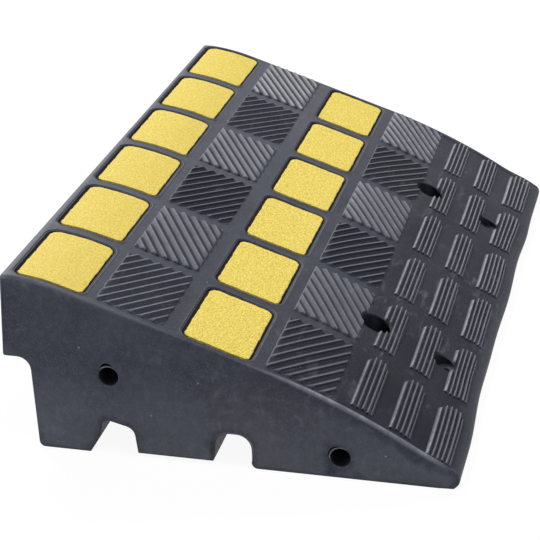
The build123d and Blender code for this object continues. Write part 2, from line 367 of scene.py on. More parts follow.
# Slope arithmetic: the deck is the common tangent of the crown arc and the toe arc
lip_top = np.array([kerb_x + lip_lean, ramp_height])
crown_centre = lip_top - crown_radius * outward_at(crown_angle)
nose_centre = np.array([toe_x - nose_radius, nose_height])
toe_centre = nose_centre - (toe_radius - nose_radius) * outward_at(toe_angle)
centre_run, centre_rise = toe_centre - crown_centre
deck_angle = degrees(
    acos((toe_radius - crown_radius) / hypot(centre_run, centre_rise)) - atan2(centre_run, -centre_rise)
)
deck_start = crown_centre + crown_radius * outward_at(deck_angle)
deck_finish = toe_centre + toe_radius * outward_at(deck_angle)
foot_start = nose_centre + nose_radius * outward_at(nose_end_angle)
lip_tilt = degrees(atan2(lip_lean, ramp_height - lip_underside))
slope_start = lip_top_radius * tan(radians((90 + crown_angle - lip_tilt) / 2))
stretch_angles = np.radians([crown_angle, deck_angle, deck_angle, toe_angle, nose_end_angle, nose_end_angle])
stretch_lengths = [
    crown_radius * radians(deck_angle - crown_angle),
    np.linalg.norm(deck_finish - deck_start),
    toe_radius * radians(toe_angle - deck_angle),
    nose_radius * radians(nose_end_angle - toe_angle),
    foot_start[1] / sin(radians(nose_end_angle)),
]
stretch_ends = np.r_[0.0, np.cumsum(stretch_lengths)]
crown_end, deck_end, toe_end, nose_end, foot_end = stretch_ends[1:]


def smooth(value, low, high):
    """0 at low, 1 at high, and the cubic 3t^2 - 2t^3 between them."""
    t = np.clip((value - low) / (high - low), 0, 1)
    return t * t * (3 - 2 * t)


def band(value, rise, fall):
    """1 between two smooth steps and 0 outside them."""
    return smooth(value, *rise) * (1 - smooth(value, *fall))


def blend(first, second, share):
    """Straight mix of two values."""
    return first + (second - first) * share


def quarter_round(share):
    """Height of a quarter ellipse, 0 at share 0 and 1 from share 1 on."""
    return np.sqrt(1 - (1 - np.clip(share, 0, 1)) ** 2)


def unit(vectors):
    """Vectors brought to length 1."""
    return vectors / np.linalg.norm(vectors, axis=-1, keepdims=True)


def waves(table, u, v=0.0):
    """Each sine wave of a table: its height times the sine of u and v over their lengths plus its start."""
    return np.stack([top * np.sin(u / along + v / across + start) for top, along, across, start in table])


def directions(count):
    """Angles spread evenly over a whole turn, and the unit vectors at them."""
    turn = np.linspace(0, 2 * np.pi, count, endpoint=False)
    return turn, np.c_[np.cos(turn), np.sin(turn)]


def slope_line(s):
    """Point x, z and the outward direction at a distance s along the slope's end outline.

    The downward angle runs evenly along each arc and stays still on each line. Arcs are centre plus radius
    times the outward direction, lines their start plus the distance run.
    """
    s = np.asarray(s)[..., None]
    angle = np.interp(s, stretch_ends, stretch_angles)
    outward = np.concatenate([np.sin(angle), np.cos(angle)], axis=-1)
    downhill = outward[..., ::-1] * [1, -1]
    point = np.select(
        [s <= end for end in (crown_end, deck_end, toe_end, nose_end)],
        [
            crown_centre + crown_radius * outward,
            deck_start + (s - crown_end) * downhill,
            toe_centre + toe_radius * outward,
            nose_centre + nose_radius * outward,
        ],
        foot_start + (s - nose_end) * downhill,
    )
    return point, outward


distance_table = np.linspace(0.0, toe_end, 4001)
distance_table_x = slope_line(distance_table)[0][:, 0]


def distance_at(x):
    """Distance along the slope's end outline at which it reaches x, above the nose."""
    return np.interp(x, distance_table_x, distance_table)


# Where looks change down the slope: a rise is one smooth step, a stretch the steps at its start and end
lug_field_start = distance_at(lug_columns[0] - lug_field_lead)
lug_rise = (deck_end - 10.0, deck_end + 60.0)
lug_stretch = (lug_rise, (toe_end - 22.0, toe_end))
uneven_stretch = ((lip_top_radius, 14.0), (toe_end - 16.0, toe_end))
sunk_stretch = ((deck_end + 12.0, deck_end + 60.0), (toe_end - 26.0, toe_end - 2.0))
edge_highlight_stretch = ((6.0, 40.0), (toe_end - 20.0, toe_end - 2.0))
edge_highlight_rise = (deck_end - 40.0, deck_end + 50.0)
painted_shade_stretch = ((lug_field_start - 12.0, lug_field_start + 4.0), (toe_end - 12.0, toe_end + 6.0))
far_sheen_stretch = ((30.0, 140.0), (toe_end - 40.0, toe_end + 8.0))


def edge_inset(distance_from_end, radius):
    """How far an edge of that radius has rounded off at a distance from the end face: a quarter circle."""
    return radius * (1 - quarter_round(distance_from_end / radius))


def end_radius(s):
    """Rounding of the end edges down the slope, larger beside the lugs than above them or at the toe."""
    return blend(end_edge_radius, lug_edge_radius, band(s, *lug_stretch))


def slope_lift(s, y):
    """Unevenness of the slope: slow waves, the end edges' beads and rounding, and the sunk lug field.

    A bead is a bell curve over the distance from the end, and the rounding a quarter circle. The lug field
    sinks smoothly down the toe, but not in the rims beside the ends.
    """
    from_end = end_y - np.abs(y)
    uneven = waves(slope_waves, s, y).sum(axis=0) * smooth(from_end, *calm_end)
    height = blend(bead_height, lug_end_bead_height, smooth(s, *lug_rise))
    bead = height * np.exp(-(((from_end - bead_distance) / bead_width) ** 2))
    bead = bead * smooth(from_end, 0.0, bead_distance)
    sink = lug_field_sink * band(s, *sunk_stretch) * smooth(from_end, *lug_field_rim)
    return band(s, *uneven_stretch) * (uneven + bead) - sink - edge_inset(from_end, end_radius(s))


def slope_painted_light(s, y):
    """Painted light and shade of the bare slope: painted highlights along the kerb rim and both end edges,
    painted shade between the lugs.

    The painted highlight of the ends is a bell curve over their rounding, most beside the lugs. The slope is
    lighter towards the kerb and darker on the deck, with painted sheen towards the far end, and slow patches
    cross the painted shade of the lug field.
    """
    far = y / end_y
    from_end = end_y - np.abs(y)
    share = from_end / end_radius(s)
    highlight = smooth(share, *edge_highlight_start) * np.exp(-(((share - edge_highlight_middle) / edge_highlight_width) ** 2))
    highlight = highlight * blend(edge_highlight, lug_edge_highlight, smooth(s, *edge_highlight_rise)) * band(s, *edge_highlight_stretch)
    rim = rim_highlight * (1 - smooth(s - slope_start, *rim_run))
    painted_light_and_tone = blend(kerb_lightening, deck_darkening, smooth(s, *kerb_to_deck_run))
    painted_light_and_tone = painted_light_and_tone + far_sheen * far * band(s, *far_sheen_stretch)
    painted_shade = field_shade - far_field_loss * far + waves(field_shade_waves, s, y).prod(axis=0)
    field = band(s, *painted_shade_stretch) * smooth(from_end, *field_rim)
    return np.maximum(highlight, rim) + blend(painted_light_and_tone, -painted_shade, field)


def toe_shift(x, y):
    """Push along x that carries the toe's swell: smooth steps and slow waves along y, fading up the slope."""
    steps = sum(swell * smooth(y, start, end) for swell, start, end in toe_swells)
    return (toe_swell_least + steps + waves(toe_waves, y).sum(axis=0)) * smooth(x, *toe_swell_run)


def on_slope(s, y, lift):
    """Point at distance s down the slope, at y along the kerb, lifted along the outward direction."""
    s, y, lift = np.broadcast_arrays(s, y, lift)
    line, outward = slope_line(s)
    x, z = np.moveaxis(line + (lift + slope_lift(s, y))[..., None] * outward, -1, 0)
    return np.stack([x + toe_shift(line[..., 0], y), y, z], axis=-1)


def laid(flat, centre, lift):
    """Loop of flat points laid on the slope round a centre s, y at a lift."""
    return on_slope(*(flat + centre).T, lift)


def filled_lines(lines, spacing):
    """Sorted grid lines, with evenly spaced extra ones wherever two neighbours stand wider apart."""
    lines = np.unique(np.round(lines, 5))
    steps = np.maximum(np.ceil(np.diff(lines) / spacing - 1e-6), 1)
    ends = np.r_[0, np.cumsum(steps)]
    return np.interp(np.arange(ends[-1] + 1), ends, lines)


def rounded_line(corners, radii):
    """Open outline through corners, each turned into an arc of its radius tangent to both sides.

    Points are complex numbers x + iz. An arc starts radius * tan(half the turn) before its corner, and is its
    centre plus the radius turned evenly from one side's direction to the other's.
    """
    corners = corners @ [1, 1j]
    sides = np.diff(corners) / np.abs(np.diff(corners))
    turn = np.angle(sides[1:] / sides[:-1])
    start = corners[1:-1] - sides[:-1] * radii * np.tan(np.abs(turn) / 2)
    spoke = -1j * sides[:-1] * np.sign(turn) * radii
    swing = np.exp(1j * np.outer(turn, np.linspace(0, 1, corner_facets + 1)))
    arcs = ((start - spoke)[:, None] + spoke[:, None] * swing).ravel()
    return np.c_[arcs.real, arcs.imag]


def placed(name, data):
    """New object of that data in the scene."""
    made = bpy.data.objects.new(name, data)
    bpy.context.collection.objects.link(made)
    return made


def aimed(place, way):
    """Matrix of a camera or lamp at a place that looks along a way."""
    return Matrix.Translation(place) @ way.to_track_quat("-Z", "Y").to_matrix().to_4x4()


class Skin:
    """Points and faces of one piece, gathered from several surfaces and welded where they meet."""

    def __init__(self):
        self.points = []
        self.wear_and_painted_light = []
        self.faces = []
        self.count = 0

    def add(self, grid, wear_and_painted_light=0.0, wrap=True, cap_first=False, cap_last=False, strips=False, kept=None):
        """Faces between neighbouring lines of a grid of points, the lines closed into loops if wrap is set.

        A capped first or last loop is closed by one flat face. With strips, both are closed by a strip between
        the loop's first half and its second half run backwards. kept marks the faces that stay.
        """
        lines, size = grid.shape[:2]
        index = np.arange(lines * size).reshape(lines, size)
        here, along = (index, np.roll(index, -1, axis=1)) if wrap else (index[:, :-1], index[:, 1:])
        quads = np.stack([here[:-1], here[1:], along[1:], along[:-1]], axis=-1)
        faces = (quads if kept is None else quads[kept]).reshape(-1, 4).tolist()
        if cap_first:
            faces.append(index[0].tolist())
        if cap_last:
            faces.append(index[-1][::-1].tolist())
        if strips:
            step = np.arange(size // 2 - 1)
            pairs = np.c_[step, step + 1, size - 2 - step, size - 1 - step]
            faces += np.r_[index[0][pairs], index[-1][pairs[:, ::-1]]].tolist()
        self.add_faces(grid.reshape(-1, 3), faces, np.broadcast_to(wear_and_painted_light, grid.shape[:2]).ravel())

    def add_faces(self, points, faces, wear_and_painted_light):
        """Points with faces that are already known."""
        self.faces += [[self.count + corner for corner in face] for face in faces]
        self.wear_and_painted_light.append(wear_and_painted_light)
        self.points.append(points)
        self.count += len(points)

    def make(self, name, finish, slot, replaced=(), weld=False):
        """Mesh object that rides on the ramp, smooth except across edges sharper than the crease."""
        mesh = bpy.data.meshes.new(name)
        mesh.from_pydata(np.concatenate(self.points) * METRES, [], self.faces)
        # Per-point attribute of painted highlights, sheen and shade, together with rubbing, dust and grime
        mesh.attributes.new("wear_and_painted_light", "FLOAT", "POINT").data.foreach_set("value", np.concatenate(self.wear_and_painted_light))
        welded = bmesh.new()
        welded.from_mesh(mesh)
        if weld:
            bmesh.ops.remove_doubles(welded, verts=welded.verts, dist=weld_distance * METRES)
        bmesh.ops.recalc_face_normals(welded, faces=welded.faces)
        welded.to_mesh(mesh)
        welded.free()
        mesh.polygons.foreach_set("use_smooth", np.ones(len(mesh.polygons), dtype=bool))
        mesh.set_sharp_from_angle(angle=radians(crease_angle))
        mesh.materials.append(finish)
        piece = placed(name, mesh)
        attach(piece, "root")
        if replaced:
            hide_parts(*replaced)


def operator_pair(operation):
    """Plain and reflected method of one operator, each adding a Math node of that operation."""

    def plain(self, other):
        return self.finish.math(operation, self, other)

    def reflected(self, other):
        return self.finish.math(operation, other, self)

    return plain, reflected


class Value:
    """A number socket that takes part in Python arithmetic: each operator adds one Math node."""

    def __init__(self, finish, socket):
        self.finish = finish
        self.socket = socket

    __add__, __radd__ = operator_pair("ADD")
    __sub__, __rsub__ = operator_pair("SUBTRACT")
    __mul__, __rmul__ = operator_pair("MULTIPLY")


class Finish:
    """Node tree of a material or world, filled from Python."""

    def __init__(self, owner):
        owner.use_nodes = True
        self.owner = owner
        self.nodes = owner.node_tree.nodes
        self.links = owner.node_tree.links

    def feed(self, node, sockets):
        """Each named socket of a node linked to a Value or another socket, or set to a plain value."""
        for name, given in sockets.items():
            given = given.socket if isinstance(given, Value) else given
            if isinstance(given, bpy.types.NodeSocket):
                self.links.new(given, node.inputs[name])
            else:
                node.inputs[name].default_value = given

    def node(self, kind, settings, sockets):
        """One node of a kind: its settings are made first, then its sockets are fed."""
        made = self.nodes.new(kind)
        for name, setting in settings.items():
            setattr(made, name, setting)
        self.feed(made, sockets)
        return made

    def number(self, kind, settings, sockets, output=0):
        """Number that one output of a new node gives."""
        return Value(self, self.node(kind, settings, sockets).outputs[output])

    def math(self, operation, first, second):
        """Math node of that operation on two numbers, either of which may be a Value."""
        return self.number("ShaderNodeMath", {"operation": operation}, {0: first, 1: second})

    def place(self, scale=(1.0, 1.0, 1.0), turn=(0.0, 0.0, 0.0)):
        """The object's own coordinates, stretched and turned."""
        coordinates = self.node("ShaderNodeTexCoord", {}, {}).outputs["Object"]
        sockets = {"Vector": coordinates, "Scale": scale, "Rotation": turn}
        return self.node("ShaderNodeMapping", {}, sockets).outputs[0]

    def down_slope(self):
        """The object's own x in metres, from the kerb to the toe."""
        return self.number("ShaderNodeSeparateXYZ", {}, {0: self.place()}, "X")

    def noise(self, scale, detail=2.0, rough=0.5, vector=None, distortion=0.0):
        """Soft noise from 0 to 1 with about that many lumps to the metre."""
        sockets = {"Scale": scale, "Detail": detail, "Roughness": rough, "Distortion": distortion}
        return self.number("ShaderNodeTexNoise", {}, {"Vector": vector or self.place(), **sockets})

    def step(self, value, low, high):
        """0 below low, 1 above high, smooth between."""
        sockets = {"Value": value, "From Min": low, "From Max": high}
        return self.number("ShaderNodeMapRange", {"interpolation_type": "SMOOTHSTEP"}, sockets)

    def patches(self, low, high, *noise, **more):
        """Soft patches: noise stepped from 0 to 1 between two of its values."""
        return self.step(self.noise(*noise, **more), low, high)

    def dots(self, low, high, vector, scale=1.0):
        """Scattered dots: 1 nearer to a cell's point than low, 0 farther than high."""
        gap = self.number("ShaderNodeTexVoronoi", {}, {"Vector": vector, "Scale": scale}, "Distance")
        return 1 - self.step(gap, low, high)

    def layers(self, ground, coats):
        """Colour built up on a ground: each coat is mixed over the last by its share."""
        tone = (*ground, 1)
        for share, colour in coats:
            sockets = {0: share, 6: tone, 7: (*colour, 1)}
            tone = self.node("ShaderNodeMix", {"data_type": "RGBA"}, sockets).outputs[2]
        return tone

    def shade(self, tone, roughness, gloss, height, distance, strength):
        """The material's shader, with its normal pressed by a height."""
        relief = {"Height": height, "Distance": distance, "Strength": strength}
        normal = self.node("ShaderNodeBump", {}, relief).outputs[0]
        look = {"Base Color": tone, "Roughness": roughness, "Specular IOR Level": gloss, "Normal": normal}
        self.feed(self.nodes["Principled BSDF"], look)
        return self.owner


def rubber_finish():
    """Matte black rubber: blotches, mottling, dusting, smears, scratches and specks, changed by the painted
    light and rubbing kept with each point.
    """
    finish = Finish(bpy.data.materials.new("black_rubber"))
    mottle = finish.noise(150.0, 5.0, 0.65)
    grain = finish.noise(800.0, 3.0, 0.7)
    blotch = finish.patches(0.28, 0.72, 14.0, 4.0, 0.6, distortion=0.4)
    stain = finish.patches(0.5, 0.68, 6.5, 3.0, 0.5, distortion=0.5)
    dust_and_painted_light = finish.patches(0.5, 0.75, 46.0, 5.0, 0.65)
    streak_place = finish.place((90.0, 26.0, 90.0), (0.0, 0.0, 0.5))
    streak = finish.patches(0.54, 0.72, 1.0, 4.0, 0.6, streak_place)
    smear_place = finish.place((95.0, 34.0, 95.0), (0.0, 0.0, -0.8))
    smear = finish.patches(0.52, 0.78, 1.0, 4.0, 0.6, smear_place, 0.7) * finish.patches(0.42, 0.62, 10.0)
    scratch_place = finish.place((330.0, 210.0, 15.0), (0.35, 0.5, 0.2))
    scratch = finish.patches(0.68, 0.76, 1.0, 2.0, 0.5, scratch_place) * finish.patches(0.5, 0.62, 17.0)
    speck = finish.dots(0.03, 0.08, finish.place(), 75.0) * finish.patches(0.55, 0.6, 30.0)
    chip_place = finish.place((26.0, 52.0, 26.0), (0.0, 0.0, 0.7))
    chip = finish.dots(0.04, 0.08, chip_place) * finish.patches(0.6, 0.63, 21.0)
    # Below 0 painted shade and grime, above 0 painted highlights and sheen together with rub and dust
    wear_and_painted_light = finish.number("ShaderNodeAttribute", {"attribute_name": "wear_and_painted_light"}, {}, "Fac")
    shade_and_grime = 0 - wear_and_painted_light
    open_face = 1 - finish.step(shade_and_grime, 0.8, 1.05)
    lug_field = finish.step(finish.down_slope(), 0.085, 0.095) * finish.step(shade_and_grime, 0.3, 0.4)
    dust_colour = (0.13, 0.137, 0.16)
    tone = finish.layers(
        (0.016, 0.019, 0.032),
        (
            (blotch, (0.036, 0.04, 0.059)),
            (stain * 0.5, (0.036, 0.031, 0.04)),
            (finish.step(mottle, 0.4, 0.75) * 0.4, (0.072, 0.078, 0.104)),
            # Painted shade and grime, painted highlights with the rub of worn places, and the highlights'
            # palest middle
            (shade_and_grime * 0.9, (0.006, 0.007, 0.013)),
            (wear_and_painted_light * (0.5 + 0.5 * mottle), (0.19, 0.2, 0.235)),
            (finish.step(wear_and_painted_light * (0.25 + 1.5 * mottle), 0.85, 1.5), (0.32, 0.33, 0.37)),
            # Grain, dust, marks and flecks, which lie on open faces only, outside the deepest painted shade
            (finish.step(grain, 0.5, 0.7) * 0.34 * open_face, (0.13, 0.135, 0.16)),
            (dust_and_painted_light * (0.14 + 0.4 * streak) * open_face, dust_colour),
            ((smear * 0.5 + scratch * 0.25 + smear * lug_field * 0.35) * open_face, dust_colour),
            (speck * 0.5 * open_face, (0.4, 0.4, 0.42)),
            (chip * 0.7 * lug_field, (0.42, 0.42, 0.44)),
        ),
    )
    # Rougher under painted shade and grime, smoother on rubbed places and under painted highlights
    dull, rubbed_and_lit = finish.step(shade_and_grime, 0.0, 1.0), finish.step(wear_and_painted_light, 0.4, 1.0)
    roughness = 0.46 + 0.16 * mottle + 0.12 * dust_and_painted_light + 0.25 * dull - 0.2 * rubbed_and_lit
    return finish.shade(tone, roughness, 0.23, 0.35 * grain + 0.65 * mottle, 0.0005, 0.4)


def panel_finish():
    """Yellow reflective sheet: sandy grain of pale and orange beads, with painted shade on the column at the
    kerb.
    """
    finish = Finish(bpy.data.materials.new("yellow_panel"))
    bead = finish.noise(800.0, 3.0, 0.6)
    sand = finish.noise(1300.0, 1.0)
    at_kerb = 1 - finish.step(finish.down_slope(), -0.1, -0.05)
    tone = finish.layers(
        (0.69, 0.495, 0.064),
        (
            (finish.step(bead, 0.42, 0.58), (0.955, 0.795, 0.176)),
            (finish.step(sand, 0.58, 0.8) * 0.5, (0.95, 0.86, 0.38)),
            (finish.patches(0.5, 0.8, 60.0, 3.0) * 0.3, (0.855, 0.66, 0.12)),
            # Painted shade on the column at the kerb
            (at_kerb * 0.3, (0.62, 0.475, 0.095)),
        ),
    )
    return finish.shade(tone, 0.55 + 0.2 * bead, 0.3, bead + 0.5 * sand, 0.0003, 0.35)


def line_span(lines, places):
    """Numbers of the grid lines nearest to two places."""
    return [int(np.argmin(np.abs(lines - place))) for place in places]


def open_window(kept, s_ends, y_ends):
    """Faces of the slope's grid left out between those places, and s and y of the points round their edge."""
    (i0, i1), (j0, j1) = line_span(slope_lines, s_ends), line_span(kerb_lines, y_ends)
    kept[i0:i1, j0:j1] = False
    corners = np.cumsum([0, i1 - i0, j1 - j0, i1 - i0, j1 - j0])
    step = np.arange(corners[-1])
    i = np.rint(np.interp(step, corners, [i0, i1, i1, i0, i0])).astype(int)
    j = np.rint(np.interp(step, corners, [j0, j0, j1, j1, j0])).astype(int)
    return slope_lines[i], kerb_lines[j]


def rounded_rectangle(points, half, radius, offset):
    """Nearest points on a rounded rectangle grown by an offset.

    Each point is pulled to the rectangle of the corner centres, and then pushed straight back out by the
    corner radius plus the offset.
    """
    core = np.clip(points, radius - half, half - radius)
    return core + unit(points - core) * (radius + offset)


def corner_lines(half):
    """Grid lines from a recess corner's centre out to the window's edge that meet its arc at even angles."""
    angles = np.radians(np.linspace(0, 45, recess_corner_lines))
    lines = half - recess_radius + (recess_radius + recess_margin) * np.tan(angles)
    return np.r_[lines, -lines]


def inside(points, loop):
    """Whether each point lies inside a closed loop: the count of loop sides crossed to its right is odd."""
    x, z = points[:, :1], points[:, 1:]
    x0, z0 = loop.T
    x1, z1 = np.roll(x0, -1), np.roll(z0, -1)
    rise = np.where(z1 == z0, 1.0, z1 - z0)
    crosses = ((z0 > z) != (z1 > z)) & (x < (x1 - x0) * (z - z0) / rise + x0)
    return crosses.sum(axis=1) % 2 == 1


def nearest_gap(points, others):
    """Distance from each point to the nearest of the others."""
    return np.sqrt(((points[:, None] - others) ** 2).sum(axis=-1)).min(axis=1)


# Grid lines down the slope and along the kerb, which all pass through the edges of the recesses and pockets
both_ways = np.array([-1.0, 1.0])
panel_s = {column: distance_at(x) for column, x in panel_columns.items()}
window_steps = np.arange(-anchor_window, anchor_window + 0.1, anchor_window_step)
slope_lines = filled_lines(
    np.concatenate(
        [[slope_start, crown_end, deck_end, foot_end], np.linspace(toe_end, nose_end, nose_facets + 1)]
        + [s + corner_lines(recess_half[0]) for s in panel_s.values()]
        + [distance_at(x + window_steps) for x in anchor_radii]
        + [[panel_s["kerb"] + recess_window[0] + slip_room]]
    ),
    slope_spacing,
)
kerb_lines = filled_lines(
    np.concatenate(
        [end_y - end_steps, end_steps - end_y]
        + [y + corner_lines(recess_half[1]) for y in row_places]
        + [y + window_steps for y in anchor_rows]
    ),
    kerb_spacing,
)
base_start = front_right + channel_radius + base_lead
base_lines = filled_lines(
    np.concatenate([[base_start]] + [x + window_steps for x in anchor_radii]), base_spacing
)[::-1]

# Underside from the toe's foot back to the kerb and up to the lip's top: x, z and radius of each corner
under_corners = np.array(
    [
        (base_lines[-1], 0.0, 0.0),
        (front_right, 0.0, channel_radius),
        (front_right - front_lean, front_top, front_radius),
        (front_left + front_lean, front_top, front_radius),
        (front_left, foot_relief, foot_radius),
        (rear_right, foot_relief, foot_radius),
        (rear_right - rear_lean, rear_right_top, rear_right_radius),
        (rear_left + rear_chamfer_x + rear_lean, rear_left_top, rear_left_radius),
        (rear_left + rear_chamfer_x, rear_chamfer_z, rear_left_radius),
        (rear_left, 0.0, foot_radius),
        (kerb_x + lip_overhang + riser_lean, 0.0, riser_foot_radius),
        (kerb_x + lip_overhang, lip_underside, lip_root_radius),
        (kerb_x, lip_underside, lip_edge_radius),
        (*lip_top, lip_top_radius),
        (*slope_line(slope_start)[0], 0.0),
    ]
)
underside = np.r_[
    np.c_[base_lines, np.zeros_like(base_lines)],
    rounded_line(under_corners[:, :2], under_corners[1:-1, 2])[:-1],
]


def body_skin():
    """The moulded rubber block: one grid wrapped round the end outline and run from end to end.

    Its lines are the slope surface and then the underside's outline, drawn in against its outward direction
    near both ends by the rounded or chamfered edge. Windows are left open for recesses and pockets.
    """
    skin = Skin()
    from_end = end_y - np.abs(kerb_lines)
    s_grid, y_grid = np.meshgrid(slope_lines, kerb_lines, indexing="ij")
    slope = on_slope(s_grid, y_grid, 0.0)
    foot, top = slope[[-1, 0], len(kerb_lines) // 2][:, None, [0, 2]]
    steps = unit(np.diff(np.r_[foot, underside, top], axis=0))
    heading = unit(steps[:-1] + steps[1:])
    outward = np.c_[-heading[:, 1], heading[:, 0]]
    x, z = underside.T[..., None]
    radius = blend(base_edge_radius, end_edge_radius, smooth(z, *base_edge_heights))
    in_front = (x > front_left - 1) & (x < front_right + 1) & (z < front_top + 1)
    mouth = front_mouth * in_front * smooth(z, *front_mouth_heights)
    inset = np.maximum(np.clip(mouth - from_end, 0, None), edge_inset(from_end, radius))
    drawn_x, drawn_z = np.moveaxis(underside[:, None] - outward[:, None] * inset[..., None], -1, 0)
    along = np.broadcast_to(kerb_lines, inset.shape)
    under = np.stack([drawn_x + toe_shift(x, kerb_lines), along, drawn_z], axis=-1)
    tube = np.r_[slope, under, slope[:1]]
    kept = np.ones((len(tube) - 1, len(kerb_lines) - 1), dtype=bool)
    for column, column_s in panel_s.items():
        for centre_y, slip in zip(row_places, panel_slips[column]):
            panel_recess(skin, kept, column_s, centre_y, slip)
    for centre, pocket_radius in pockets:
        anchor_pocket(skin, kept, centre, pocket_radius)
    # The slope's painted light and shade, and a painted highlight along the top of the kerb lip
    slope_light = slope_painted_light(s_grid, y_grid)
    lip_highlight = np.broadcast_to(rim_highlight * smooth(z, *lip_highlight_heights), inset.shape)
    skin.add(tube, np.r_[slope_light, lip_highlight, slope_light[:1]], wrap=False, kept=kept)
    for side, column in ((-1, 0), (1, -1)):
        end_face(skin, tube[:-1, column][:, [0, 2]], side)
    return skin


def panel_recess(skin, kept, column_s, centre_y, slip):
    """One recess: rounded rectangles from the edge of its window, over its lip and down to its floor."""
    centre = np.array([column_s + slip, centre_y])
    s_ends = column_s + recess_window[0] * both_ways + [0.0, slip_room if slip else 0.0]
    s, y = open_window(kept, s_ends, centre_y + recess_window[1] * both_ways)
    edge = np.c_[s, y] - centre
    loops = [on_slope(s, y, 0.0)]
    for offset, lift, _ in recess_steps:
        flat = rounded_rectangle(edge, recess_half, recess_radius, offset)
        loops.append(laid(flat, centre, lift))
    loops += [laid(flat * share, centre, lift) for share in recess_floor_shares]
    # Painted highlights on the lip and shelf, strongest downhill, and painted shade down the wall and over the
    # floor
    shading_and_wear = [step[2] for step in recess_steps] + [recess_floor_shade] * len(recess_floor_shares)
    shading_and_wear = np.array(shading_and_wear)[:, None]
    highlight = blend(lip_highlight_least, 1.0, smooth((edge / recess_half) @ lip_highlight_ways, *lip_highlight_run))
    shading_and_wear = np.r_[slope_painted_light(s, y)[None], shading_and_wear * np.where(shading_and_wear > 0, highlight, 1.0)]
    skin.add(np.stack(loops), shading_and_wear, cap_last=True)


def anchor_pocket(skin, kept, centre, radius):
    """One pocket: loops from its window's edge over its rim to its seat, and through its hole to the base."""
    ends = centre[:, None] + anchor_window * both_ways
    s, y = open_window(kept, distance_at(ends[0]), ends[1])
    base_rows = len(slope_lines) + np.array(line_span(base_lines, ends[0][::-1]))
    kept[slice(*base_rows), slice(*line_span(kerb_lines, ends[1]))] = False
    edge = np.c_[slope_line(s)[0][:, 0], y]
    spoke = unit(edge - centre)
    loops = [on_slope(s, y, 0.0)]
    for offset, lift in rim_steps:
        x, rim_y = (spoke * (radius + offset) + centre).T
        loops.append(on_slope(distance_at(x), rim_y, lift))
    # Reach, height and painted light of each loop down the wall, over the seat and down the hole: painted
    # shade in the pocket and down the hole, paler round the hole's mouth
    steps = (
        (radius, loops[-1][:, 2] - pocket_wall_start, -1.0),
        (radius - 0.3, seat_height + 0.8, -1.0),
        (radius - 1.2, seat_height, -0.4),
        (hole_radius + 0.5, seat_height, 0.25),
        (hole_radius, seat_height - 0.5, 0.25),
        (hole_radius, 0.6, -0.8),
        (hole_radius + 0.6, 0.0, -1.0),
    )
    for reach, height, _ in steps:
        loops.append(np.c_[spoke * reach + centre, np.broadcast_to(height, len(spoke))])
    loops.append(np.c_[edge[:, 0] + toe_shift(*edge.T), y, np.zeros_like(y)])
    rim_light = np.tile(slope_painted_light(s, y), (len(rim_steps), 1))
    inner_light_and_shade = np.array([-1.0, *[step[2] for step in steps], 0.0])
    skin.add(np.stack(loops), np.r_[rim_light, np.tile(inner_light_and_shade[:, None], (1, len(s)))])


def end_face(skin, rim, side):
    """Upright end face: triangles between its rim, the sockets' mouths and a field of inner points.

    A mouth is the socket's circle or, where it lies farther out, the circle of the crescent beside it. The
    face swells in slow waves and is a little hollow.
    """
    circle = directions(socket_facets)[1]
    mouths = []
    for across, up, radius, _ in crescents:
        rise = circle @ [across, up]
        crescent = rise + np.sqrt(np.maximum(rise**2 + radius**2 - across**2 - up**2, 0))
        mouths.append(np.maximum(crescent, socket_radius)[:, None])
    rims = [place + circle * (mouth + socket_lip) for place, mouth in zip(sockets, mouths)]
    edges = np.concatenate([rim, *rims])

    def in_socket(points):
        return inside(points, rims[0]) | inside(points, rims[1])

    columns = np.arange(kerb_x + face_margin, toe_x, face_pitch)
    levels = np.arange(face_margin, ramp_height, face_pitch)
    field = np.stack(np.meshgrid(columns, levels), axis=-1).reshape(-1, 2)
    field = field[inside(field, rim) & ~in_socket(field) & (nearest_gap(field, edges) > face_clearance)]
    sizes = [len(loop) for loop in (rim, *rims)]
    starts = np.cumsum([0, *sizes])
    sides = [np.c_[a + np.arange(n), a + (np.arange(n) + 1) % n] for a, n in zip(starts, sizes)]
    corners = [Vector(p) for p in np.concatenate([edges, field])]
    found = delaunay_2d_cdt(corners, np.concatenate(sides).tolist(), [], 1, 1e-7)
    spots = np.array([tuple(p) for p in found[0]])
    faces = np.array(found[2])
    faces = faces[~in_socket(spots[faces].mean(axis=1))]
    reach = nearest_gap(spots, edges)
    x, z = spots.T
    swell = smooth(reach, *face_swell_run) * waves(face_waves, x, z).sum(axis=0)
    y = side * (end_y + swell - face_dish * smooth(reach, *face_dish_run))
    # Painted bounce light on the lower end face and painted shade near its top, fading out at the edges
    painted_light_and_tone = blend(face_bounce_light, face_top_shade, smooth(z, *face_light_heights)) * smooth(reach, *face_light_run)
    skin.add_faces(np.c_[x, y, z], faces.tolist(), painted_light_and_tone)
    for place, mouth, (*_, crescent_depth) in zip(sockets, mouths, crescents):
        socket_bore(skin, place, mouth, crescent_depth, circle, side)


